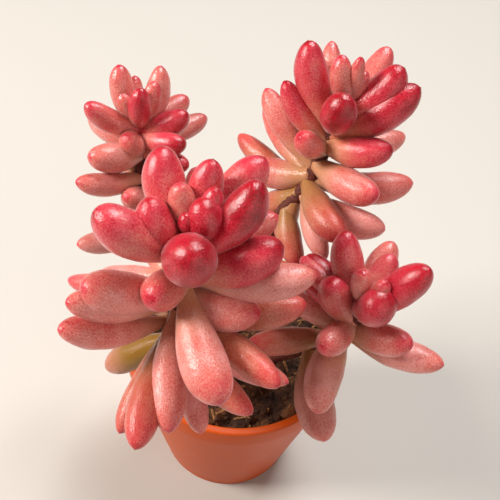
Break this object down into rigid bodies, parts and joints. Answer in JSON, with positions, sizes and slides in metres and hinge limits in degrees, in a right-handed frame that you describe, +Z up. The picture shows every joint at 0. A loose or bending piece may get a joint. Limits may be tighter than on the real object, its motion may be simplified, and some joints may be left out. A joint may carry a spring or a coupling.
{
  "type": "potted jelly bean plant",
  "caption": "Small plastic nursery pot of soil with upright leafy stems of plump, bean-shaped succulent leaves, pink at the tips.",
  "frame": {"origin": "middle of the pot's flat underside, on the surface that it stands on", "axes": "+Z up along the pot's axis, -Y towards the side the picture shows, +X to the viewer's right"},
  "size_m": [0.0804, 0.0787, 0.1174],
  "materials": {
    "pot_plastic": "satin",
    "potting_soil": "matte",
    "leaf": "satin",
    "stem_bark": "matte"
  },
  "bodies": {
    "root": {"pot": "pot_plastic", "soil": "potting_soil", "leafy_stem_front": "leaf", "leafy_stem_right": "leaf", "leafy_stem_back_right": "leaf", "leafy_stem_back_left": "leaf"}
  },
  "joints": []
}
